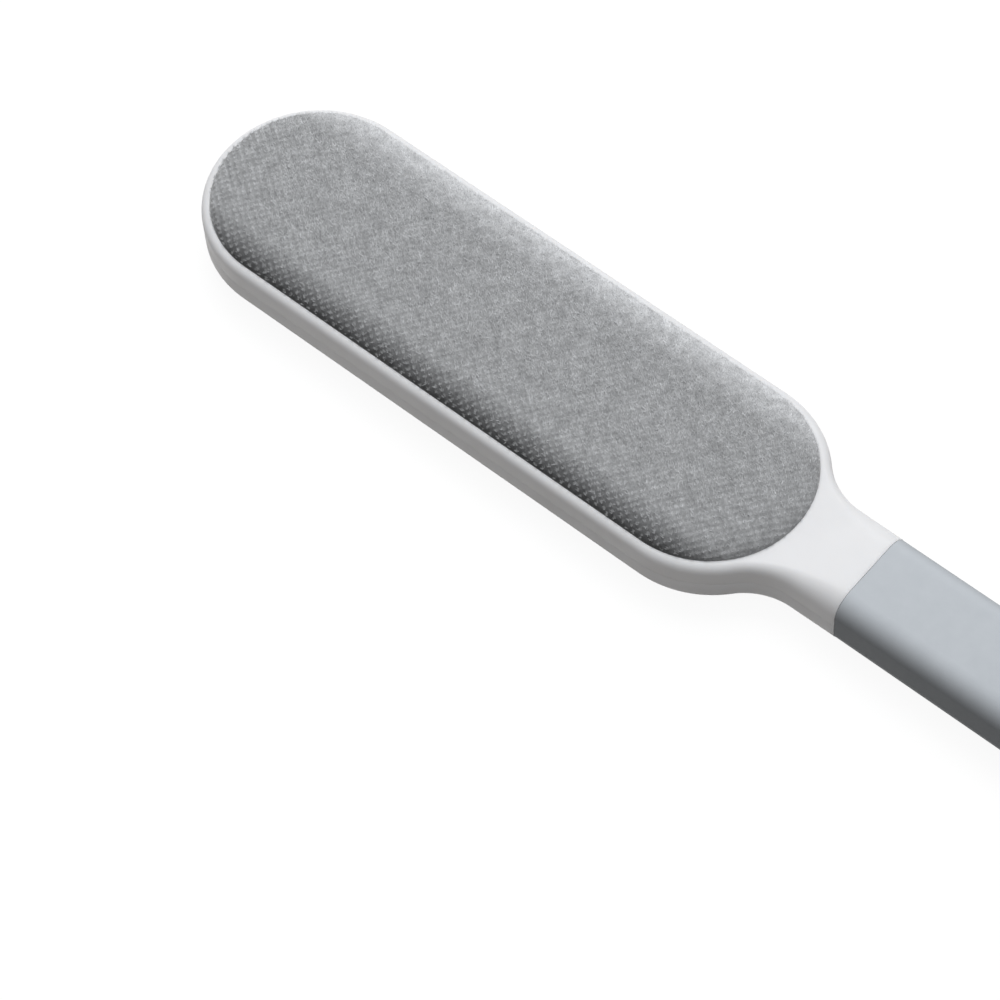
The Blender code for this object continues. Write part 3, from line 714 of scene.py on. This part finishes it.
def pad_skin(name, limit, sink, inner_sink, rim_profile):
    """A skin with an outside, a rim given as insets and levels, and a coarser inside."""
    u, v = cloth_grid()
    points, normals = drape(u, v, limit)
    points += normals * (relief(u, v) - sink)[..., None]
    points[..., 2] = np.minimum(points[..., 2], limit)
    quads, rim = grid_faces(u.shape, 0)
    verts = [points.reshape(-1, 3)]
    faces = quads.tolist()
    total = u.size
    centre = spine(u).ravel()[rim]
    way = np.stack([u.ravel()[rim] - centre, v.ravel()[rim]], -1)
    way /= np.linalg.norm(way, axis=-1, keepdims=True)
    last = rim
    for inset, level in rim_profile:
        out = way * (COVER_RADIUS - inset)
        verts.append(np.column_stack([centre + out[:, 0], out[:, 1], np.full(len(rim), level)]))
        fresh = np.arange(total, total + len(rim))
        faces += np.stack([last, fresh, np.roll(fresh, -1), np.roll(last, -1)], -1).tolist()
        total += len(rim)
        last = fresh
    inner_u, inner_v = u[::2, ::2], v[::2, ::2]
    inner, normals = drape(inner_u, inner_v, PAD_TOP)
    verts.append((inner - normals * inner_sink).reshape(-1, 3))
    quads, inner_rim = grid_faces(inner_u.shape, total)
    faces += quads.tolist()
    before, between, after = last[::2], last[1::2], np.roll(last[::2], -1)
    here, there = inner_rim, np.roll(inner_rim, -1)
    for corners in ((before, between, here), (between, after, there), (between, there, here)):
        faces += np.stack(corners, -1).tolist()
    mesh = bpy.data.meshes.new(name)
    mesh.from_pydata(np.concatenate(verts).tolist(), [], faces)
    form = bmesh.new()
    form.from_mesh(mesh)
    bmesh.ops.recalc_face_normals(form, faces=form.faces)
    form.to_mesh(mesh)
    form.free()
    mesh.shade_smooth()
    return mesh


def cover(name, node, turned, limit, material):
    """The fabric, with its flap turned under the board. No point of it passes the limit."""
    flap_end = FOAM_INSET + FLAP_WIDTH
    flap_top = FLAP_UNDER + FABRIC_THICKNESS
    profile = []
    for angle in steps(0.0, math.pi / 2, SEAM_STEPS)[1:]:
        level = ROLL_BASE - COVER_SINK - TUCK_DROP * math.sin(angle)
        profile.append((TUCK_INSET * (1 - math.cos(angle)), level))
    for angle in steps(0.0, math.pi / 2, SEAM_STEPS):
        level = FLAP_UNDER + FLAP_CORNER * (1 - math.sin(angle))
        profile.append((TUCK_INSET + FLAP_CORNER * (1 - math.cos(angle)), level))
    profile += [(flap_end, FLAP_UNDER), (flap_end, flap_top), (TUCK_INSET + FABRIC_THICKNESS, flap_top)]
    mesh = pad_skin(name, limit, COVER_SINK, COVER_THICKNESS, profile)
    place(mesh, turned)
    piece = add_piece(name, mesh, material, "hook_fabric", node)


# Nap: short spikes that stand in tufts on the knit's lattice


# The lattice's two steps: one period of each of the knit's waves, in the direction that it runs
TUFT_ONE = (0.000983, 0.001343)
TUFT_TWO = (-0.001325, 0.000974)
TUFT_SPREADS = (0.00017, 0.00046)
SPIKES_IN_TUFT = 14
SPIKE_LENGTHS = (0.00060, 0.00110)
SPIKE_WIDTHS = (0.00016, 0.00027)
SPIKE_THICKNESS_SHARE = 0.22
SPIKE_ROOT = 0.00022
SPIKE_LEAN = math.radians(143)
SPIKE_TURN = math.radians(34)
SPIKE_TILTS = (math.radians(38), math.radians(72))
NAP_MARGIN = 0.0005
CELL_FILL = 0.8

# Each pad's name, whether it is the rear one, the seed of its nap, and the level that limits it. Nothing
# limits the front pad. The rear pad is flat where the brush lies on it.
PADS = [("front", False, 11, PAD_TOP + OVERRUN), ("rear", True, 12, MIDDLE_Z)]


def nap_roots(draw):
    """Flat places of the spikes, gathered round the knots of the lattice.

    The tufts are tight along the rim at -Y and at both ends, and loose from the middle to +Y.
    """
    reach = math.ceil((CAP_CENTRE + CLOTH_RADIUS) / np.hypot(*TUFT_TWO)) + 1
    one, two = np.meshgrid(np.arange(-reach, reach + 1), np.arange(-reach, reach + 1))
    knots = one.reshape(-1, 1) * np.array(TUFT_ONE) + two.reshape(-1, 1) * np.array(TUFT_TWO)
    knots = knots[from_spine(*knots.T) < CLOTH_RADIUS]
    roots = np.repeat(knots, SPIKES_IN_TUFT, axis=0)
    past_straight = np.maximum(np.abs(roots[:, 0]) - CAP_CENTRE, 0.0)
    looseness = np.clip((roots[:, 1] - past_straight) / CLOTH_RADIUS, -1.0, 0.0) + 1
    spread = blend(*TUFT_SPREADS, looseness)
    roots = roots + draw.normal(0.0, 1.0, roots.shape) * spread[:, None]
    return roots[from_spine(*roots.T) < CLOTH_RADIUS - NAP_MARGIN]


def nap_mesh(name, seed, limit):
    """Spikes of four points: two corners and a back at the root, and a tip that leans over."""
    draw = np.random.default_rng(seed)
    roots = nap_roots(draw)
    count = len(roots)
    points, normals = drape(roots[:, 0], roots[:, 1], limit)
    heading = SPIKE_LEAN + draw.normal(0.0, SPIKE_TURN, count)
    lean = np.stack([np.cos(heading), np.sin(heading), np.zeros(count)], -1)
    lean -= normals * (lean * normals).sum(-1, keepdims=True)
    lean /= np.linalg.norm(lean, axis=-1, keepdims=True)
    tilt = draw.uniform(*SPIKE_TILTS, count)[:, None]
    length = draw.uniform(*SPIKE_LENGTHS, count)[:, None]
    width = draw.uniform(*SPIKE_WIDTHS, count)[:, None]
    axis = normals * np.cos(tilt) + lean * np.sin(tilt)
    side = np.cross(normals, lean)
    face = np.cross(axis, side)
    foot = points - normals * SPIKE_ROOT
    back = foot - face * width * SPIKE_THICKNESS_SHARE
    verts = np.stack([foot + side * width / 2, foot - side * width / 2, back, foot + axis * length], 1)
    verts[..., 2] = np.minimum(verts[..., 2], limit)
    first = 4 * np.arange(count)[:, None]
    triangles = np.array([(0, 1, 3), (1, 2, 3), (2, 0, 3), (0, 2, 1)])
    faces = (first[:, None] + triangles[None]).reshape(-1, 3)
    mesh = bpy.data.meshes.new(name)
    mesh.from_pydata(verts.reshape(-1, 3).tolist(), [], faces.tolist())
    spread_map(mesh, count)
    return mesh


def spread_map(mesh, count):
    """A map for baking, with a square cell for each spike and its four faces in strips across it."""
    across = math.ceil(math.sqrt(count))
    cells = np.arange(count)
    corner = np.stack([cells % across, cells // across], -1) / across
    strips = []
    for strip in range(4):
        low, high = strip / 4, (strip + CELL_FILL) / 4
        strips += [(low, 0.0), (high, 0.0), ((low + high) / 2, CELL_FILL)]
    places = corner[:, None] + np.array(strips)[None] / across
    layer = mesh.uv_layers.new(name="OFBake")
    layer.data.foreach_set("uv", places.ravel())


def nap(name, node, turned, seed, limit, material):
    mesh = nap_mesh(name, seed, limit)
    place(mesh, turned)
    add_piece(name, mesh, material, "hook_fabric", node)


# Foam and tape, which the fabric hides


def foam(name, node, turned, material):
    """A crowned sheet that fills the fabric down to the board."""
    start = math.asin((FOAM_UNDER + FOAM_INSET - ROLL_BASE) / ROLL_RISE)
    rows = []
    for angle in steps(start, math.pi / 2, EDGE_STEPS):
        slope = Vector((math.cos(angle) / ROLL_WIDTH, math.sin(angle) / ROLL_RISE)).normalized()
        radius = CROWN_RADIUS + ROLL_WIDTH * math.cos(angle) - FOAM_INSET * slope.x
        rows.append((radius, ROLL_BASE + ROLL_RISE * math.sin(angle) - FOAM_INSET * slope.y))
    for share in steps(1.0, 1 / EDGE_STEPS, EDGE_STEPS - 1)[1:]:
        rows.append((CROWN_RADIUS * share, ROLL_TOP + PAD_CROWN * (1 - share ** 2) ** 2 - FOAM_INSET))
    profile = [(rows[0][0], FOAM_UNDER)] + rows
    mesh = stadium_solid(name, profile, 2 * CAP_CENTRE, ARC_STEPS)
    rounded(mesh)
    place(mesh, turned)
    piece = add_piece(name, mesh, material, "foam", node)


def tape(name, node, turned, material):
    """Foam tape with a softly rounded edge."""
    half = (TAPE_TOP - FLAP_UNDER) / 2
    profile = []
    for angle in steps(-math.pi / 2, math.pi / 2, EDGE_STEPS):
        inset = half / 2 * (1 - math.cos(angle))
        profile.append((TAPE_RADIUS - inset, FLAP_UNDER + half * (1 + math.sin(angle))))
    mesh = stadium_solid(name, profile, 2 * CAP_CENTRE, ARC_STEPS)
    rounded(mesh)
    place(mesh, turned)
    add_piece(name, mesh, material, "tape", node)


# Materials


# Painted shade and a painted highlight on the pads: the colour is darkened as painted shade from the first
# distance below out to the rim at -Y, and lightened as a painted highlight from the second out to the rim
# at +Y. Both are distances from the middle line.
PAINTED_SHADE_FROM = 0.0180
PAINTED_LIGHT_FROM = 0.0155
# The darkest painted shade and the lightest painted highlight, as factors on the colour, for the nap and
# for the knit
NAP_PAINTED_SHADES = (0.73, 1.25)
CLOTH_PAINTED_SHADES = (0.24, 1.85)
MOTTLE_SIZE = 0.0026
MOTTLE_SHADES = (0.88, 1.12)
FABRIC_GLOSS = {"Specular_IOR_Level": 0.1, "Sheen_Weight": 1.0, "Sheen_Roughness": 0.35}

# Grey of the nap's spikes: each takes one by chance, and few take a light one
SPIKE_GREYS = [(0.00, 0.61), (0.15, 0.63), (0.50, 0.65), (0.85, 0.68), (0.96, 0.75), (1.00, 0.88)]
SPIKE_TINT = (1.00, 1.01, 1.03)

# The grip's painted shade on its flanks, as a factor on its grey, and how flat its surface lies where the
# sides end and where the face starts, between which the painted shade fades out
GRIP_FLANK_PAINTED_SHADE = 0.47
GRIP_PAINTED_SHADE_REACH = (0.1, 0.95)


def new_material(name, **values):
    """A Principled material, whose constant values are set by socket name with _ for a blank."""
    material = bpy.data.materials.new(name)
    material.use_nodes = True
    shader = material.node_tree.nodes["Principled BSDF"]
    for socket, value in values.items():
        shader.inputs[socket.replace("_", " ")].default_value = value
    return material, material.node_tree, shader


def object_place(tree):
    """Where a point is in the row's frame."""
    return tree.nodes.new("ShaderNodeTexCoord").outputs["Object"]


def coordinate(tree, vector, axis):
    node = tree.nodes.new("ShaderNodeSeparateXYZ")
    tree.links.new(vector, node.inputs[0])
    return node.outputs[axis]


def computed(tree, operation, *values):
    """The result of a Math node."""
    node = tree.nodes.new("ShaderNodeMath")
    node.operation = operation
    for value, socket in zip(values, node.inputs):
        tree.links.new(value, socket)
    return node.outputs[0]


def grain(tree, size, detail=2.0, stretch=(1.0, 1.0, 1.0)):
    """Noise whose spots are about size metres across, or drawn out by stretch."""
    mapping = tree.nodes.new("ShaderNodeMapping")
    mapping.inputs["Scale"].default_value = [1 / size / share for share in stretch]
    noise_node = tree.nodes.new("ShaderNodeTexNoise")
    noise_node.inputs["Scale"].default_value = 1.0
    noise_node.inputs["Detail"].default_value = detail
    tree.links.new(object_place(tree), mapping.inputs["Vector"])
    tree.links.new(mapping.outputs["Vector"], noise_node.inputs["Vector"])
    return noise_node.outputs["Fac"]


def ranged(tree, share, low, high, start=0.3, end=0.7):
    """A value that goes from low to high as share goes from start to end, and holds beyond."""
    node = tree.nodes.new("ShaderNodeMapRange")
    node.inputs["From Min"].default_value = start
    node.inputs["From Max"].default_value = end
    node.inputs["To Min"].default_value = low
    node.inputs["To Max"].default_value = high
    tree.links.new(share, node.inputs["Value"])
    return node.outputs["Result"]


def ramp(tree, share, stops):
    """Colours against a share, from stops of a position and a colour."""
    node = tree.nodes.new("ShaderNodeValToRGB")
    elements = node.color_ramp.elements
    while len(elements) < len(stops):
        elements.new(0.5)
    for element, (position, colour) in zip(elements, stops):
        element.position = position
        element.color = (*colour, 1.0)
    tree.links.new(share, node.inputs["Fac"])
    return node.outputs["Color"]


def shaded(tree, colour, share):
    """A colour multiplied by a number."""
    node = tree.nodes.new("ShaderNodeVectorMath")
    node.operation = "SCALE"
    tree.links.new(colour, node.inputs[0])
    tree.links.new(share, node.inputs["Scale"])
    return node.outputs["Vector"]


def bump(tree, shader, height, depth, strength):
    """A relief of depth metres in the shader's normal."""
    node = tree.nodes.new("ShaderNodeBump")
    node.inputs["Strength"].default_value = strength
    node.inputs["Distance"].default_value = depth
    tree.links.new(height, node.inputs["Height"])
    tree.links.new(node.outputs["Normal"], shader.inputs["Normal"])


def white_plastic():
    """Satin ABS, slightly cloudy and a little translucent."""
    material, tree, shader = new_material("white_plastic", Specular_IOR_Level=0.25, Subsurface_Weight=0.5,
                                          Subsurface_Radius=(1.0, 0.95, 0.9), Subsurface_Scale=0.0015)
    cloud = ramp(tree, grain(tree, 0.02), [(0.35, (0.79, 0.79, 0.80)), (0.65, (0.81, 0.81, 0.82))])
    tree.links.new(cloud, shader.inputs["Base Color"])
    tree.links.new(ranged(tree, grain(tree, 0.003), 0.34, 0.42), shader.inputs["Roughness"])
    bump(tree, shader, grain(tree, 0.0005, detail=3.0), depth=0.00001, strength=0.25)
    return material


def soft_touch():
    """Grey elastomer, with painted shade that darkens the grip's flanks against its faces."""
    material, tree, shader = new_material("grey_soft_touch", Specular_IOR_Level=0.05)
    greys = [(0.3, (0.525, 0.555, 0.588)), (0.7, (0.550, 0.580, 0.613))]
    cloud = ramp(tree, grain(tree, 0.004, detail=4.0), greys)
    # Painted shade: the grey darkens where the surface faces sideways
    normal = tree.nodes.new("ShaderNodeNewGeometry").outputs["Normal"]
    level = computed(tree, "ABSOLUTE", coordinate(tree, normal, "Z"))
    painted_flank_shade = ranged(tree, level, GRIP_FLANK_PAINTED_SHADE, 1.0, *GRIP_PAINTED_SHADE_REACH)
    tree.links.new(shaded(tree, cloud, painted_flank_shade), shader.inputs["Base Color"])
    tree.links.new(ranged(tree, grain(tree, 0.0012), 0.40, 0.48), shader.inputs["Roughness"])
    bump(tree, shader, grain(tree, 0.0003), depth=0.00002, strength=0.35)
    return material


def mottle_and_painted_rim_light(tree, darkest, lightest):
    """Mottling, times a painted shade towards the rim at -Y and a painted highlight towards the rim at +Y.
    """
    side = coordinate(tree, object_place(tree), "Y")
    dark = ranged(tree, side, darkest, 1.0, -PAD_RADIUS, -PAINTED_SHADE_FROM)
    light = ranged(tree, side, 1.0, lightest, PAINTED_LIGHT_FROM, PAD_RADIUS)
    mottle = ranged(tree, grain(tree, MOTTLE_SIZE, detail=1.0), *MOTTLE_SHADES)
    return computed(tree, "MULTIPLY", computed(tree, "MULTIPLY", mottle, dark), light)


def knit_cloth():
    """The knit under the nap, darker than it, with painted shade and a painted highlight towards its rims.
    """
    material, tree, shader = new_material("knit_cloth", Roughness=0.95, **FABRIC_GLOSS)
    greys = [(0.35, (0.27, 0.273, 0.278)), (0.65, (0.39, 0.394, 0.40))]
    spots = ramp(tree, grain(tree, 0.0005, detail=3.0), greys)
    tree.links.new(shaded(tree, spots, mottle_and_painted_rim_light(tree, *CLOTH_PAINTED_SHADES)), shader.inputs["Base Color"])
    bump(tree, shader, grain(tree, 0.0003), depth=0.00008, strength=0.6)
    return material


def nap_fibre():
    """The fibre of the nap, in a grey of its own for each spike, with painted shade and a painted highlight
    towards the pad's rims.
    """
    material, tree, shader = new_material("nap_fibre", Roughness=0.85, **FABRIC_GLOSS)
    chance = tree.nodes.new("ShaderNodeNewGeometry").outputs["Random Per Island"]
    greys = [(share, [grey * tint for tint in SPIKE_TINT]) for share, grey in SPIKE_GREYS]
    shade = ramp(tree, chance, greys)
    tree.links.new(shaded(tree, shade, mottle_and_painted_rim_light(tree, *NAP_PAINTED_SHADES)), shader.inputs["Base Color"])
    return material


def speckled(name, first, second, size, roughness, depth):
    """A plain material with spots of two colours and a matching relief."""
    material, tree, shader = new_material(name, Roughness=roughness)
    spots = grain(tree, size, detail=3.0)
    tree.links.new(ramp(tree, spots, [(0.35, first), (0.65, second)]), shader.inputs["Base Color"])
    bump(tree, shader, spots, depth, strength=0.6)
    return material


def zinc_steel():
    """Plated steel, brushed along the screws."""
    material, tree, shader = new_material("zinc_steel", Metallic=1.0)
    brushed = grain(tree, 0.0004, detail=3.0, stretch=(1.0, 1.0, 8.0))
    tree.links.new(ramp(tree, brushed, [(0.3, (0.54, 0.53, 0.51)), (0.7, (0.62, 0.61, 0.59))]),
                   shader.inputs["Base Color"])
    tree.links.new(ranged(tree, brushed, 0.26, 0.42), shader.inputs["Roughness"])
    bump(tree, shader, brushed, depth=0.00001, strength=0.4)
    return material


def dress(node, material):
    """Gives a carried-over node a finished material."""
    part = frame["nodes"][node]
    part.data.materials.clear()
    part.data.materials.append(material)


# Stage, lights and camera


FIELD_OF_VIEW = math.radians(14)
CAMERA_DISTANCE = 0.98816
CAMERA_AZIMUTH = math.radians(44.109)
CAMERA_ELEVATION = math.radians(58.430)
CAMERA_ROLL = math.radians(-4.632)
CAMERA_AIM = (0.02765, -0.03616)
CAMERA_CLIP = (0.01, 50.0)

# The floor and the room as the object's light meets them, and the floor as the camera sees it
FLOOR_HALF_WIDTH = 6.0
FLOOR_BOUNCE = (0.205, 0.18, 0.155)
FLOOR_SEEN = (0.12, 0.12, 0.12)
FLOOR_GLOW = 0.92
ROOM_COLOUR = (0.97, 0.985, 1.0)
ROOM_STRENGTH = 0.41

KEY_AZIMUTH = math.radians(122)
KEY_ELEVATION = math.radians(60)
KEY_DISTANCE = 1.7
KEY_SIZE = 1.3
KEY_POWER = 21.8
KEY_COLOUR = (0.99, 0.995, 1.0)


def make_camera():
    """The photo's camera, placed by its direction from a point beside the head's centre."""
    data = bpy.data.cameras.new("photo_camera")
    data.lens = data.sensor_width / 2 / math.tan(FIELD_OF_VIEW / 2)
    data.clip_start, data.clip_end = CAMERA_CLIP
    camera = linked("photo_camera", data)
    level = math.cos(CAMERA_ELEVATION)
    back = Vector((math.sin(CAMERA_AZIMUTH) * level, -math.cos(CAMERA_AZIMUTH) * level,
                   math.sin(CAMERA_ELEVATION)))
    aim = Vector((MIDDLE_X + CAMERA_AIM[0], CAMERA_AIM[1], MIDDLE_Z))
    turn = (-back).to_track_quat("-Z", "Y").to_matrix() @ Matrix.Rotation(CAMERA_ROLL, 3, "Z")
    camera.matrix_world = Matrix.Translation(aim + back * CAMERA_DISTANCE) @ turn.to_4x4()
    bpy.context.scene.camera = camera


def make_key_light():
    """A square lamp that looks at the head, placed by its direction from there."""
    level = math.cos(KEY_ELEVATION)
    way = Vector((math.cos(KEY_AZIMUTH) * level, math.sin(KEY_AZIMUTH) * level, math.sin(KEY_ELEVATION)))
    data = bpy.data.lights.new("key", "AREA")
    data.size = KEY_SIZE
    data.energy = KEY_POWER
    data.color = KEY_COLOUR
    lamp = linked("key", data)
    lamp.location = Vector((MIDDLE_X, 0.0, 0.0)) + way * KEY_DISTANCE
    lamp.rotation_euler = (-way).to_track_quat("-Z", "Y").to_euler()


def seen_or_lit(tree, lit, seen, out):
    """One shader lights the object, the other shows to the camera, in gloss and through glass."""
    path = tree.nodes.new("ShaderNodeLightPath")
    share = path.outputs["Is Camera Ray"]
    for ray in ("Is Glossy Ray", "Is Transmission Ray"):
        share = computed(tree, "MAXIMUM", share, path.outputs[ray])
    mix = tree.nodes.new("ShaderNodeMixShader")
    tree.links.new(share, mix.inputs[0])
    tree.links.new(lit, mix.inputs[1])
    tree.links.new(seen, mix.inputs[2])
    tree.links.new(mix.outputs[0], out)


def diffuse(tree, colour):
    node = tree.nodes.new("ShaderNodeBsdfDiffuse")
    node.inputs["Color"].default_value = (*colour, 1.0)
    return node.outputs[0]


def make_floor():
    mesh = bpy.data.meshes.new("floor")
    form = bmesh.new()
    bmesh.ops.create_grid(form, x_segments=1, y_segments=1, size=FLOOR_HALF_WIDTH)
    form.to_mesh(mesh)
    form.free()
    floor = linked("floor", mesh)
    material = bpy.data.materials.new("floor")
    material.use_nodes = True
    tree = material.node_tree
    tree.nodes.clear()
    out = tree.nodes.new("ShaderNodeOutputMaterial")
    glow = tree.nodes.new("ShaderNodeEmission")
    glow.inputs["Strength"].default_value = FLOOR_GLOW
    seen = tree.nodes.new("ShaderNodeAddShader")
    tree.links.new(diffuse(tree, FLOOR_SEEN), seen.inputs[0])
    tree.links.new(glow.outputs[0], seen.inputs[1])
    seen_or_lit(tree, diffuse(tree, FLOOR_BOUNCE), seen.outputs[0], out.inputs["Surface"])
    mesh.materials.append(material)


def make_world():
    world = bpy.data.worlds.new("studio")
    world.use_nodes = True
    bpy.context.scene.world = world
    tree = world.node_tree
    tree.nodes.clear()
    out = tree.nodes.new("ShaderNodeOutputWorld")
    room = tree.nodes.new("ShaderNodeBackground")
    room.inputs["Color"].default_value = (*ROOM_COLOUR, 1.0)
    room.inputs["Strength"].default_value = ROOM_STRENGTH
    seen = tree.nodes.new("ShaderNodeBackground")
    seen.inputs["Strength"].default_value = 1.0
    seen_or_lit(tree, room.outputs[0], seen.outputs[0], out.inputs["Surface"])


make_camera()
make_floor()
make_world()
make_key_light()

white = white_plastic()
shell("front_casing", "front_shell", True, FRONT_PARTING_RADIUS, white)
shell("rear_casing", "rear_shell", False, REAR_PARTING_RADIUS, white)
cap(white)
grip(soft_touch())

cloth = knit_cloth()
fibre = nap_fibre()
foam_core = speckled("foam_core", (0.66, 0.66, 0.64), (0.76, 0.76, 0.74),
                     size=0.0006, roughness=0.9, depth=0.0001)
tape_foam = speckled("tape_foam", (0.48, 0.48, 0.45), (0.58, 0.58, 0.55),
                     size=0.0004, roughness=0.85, depth=0.00005)
for half, is_rear, seed, limit in PADS:
    cover(half + "_pad_cover", half + "_fabric", is_rear, limit, cloth)
    nap(half + "_pad_nap", half + "_fabric", is_rear, seed, limit, fibre)
    foam(half + "_pad_foam", half + "_foam", is_rear, foam_core)
    tape(half + "_pad_tape", half + "_mounting_tape", is_rear, tape_foam)

board = speckled("moulded_board", (0.26, 0.26, 0.26), (0.33, 0.33, 0.33),
                 size=0.0012, roughness=0.6, depth=0.00002)
dress("front_board", board)
dress("rear_board", board)
steel = zinc_steel()
for number in SCREWS:
    dress("shell_screw_%d" % number, steel)

bpy.context.scene.view_settings.view_transform = "Standard"
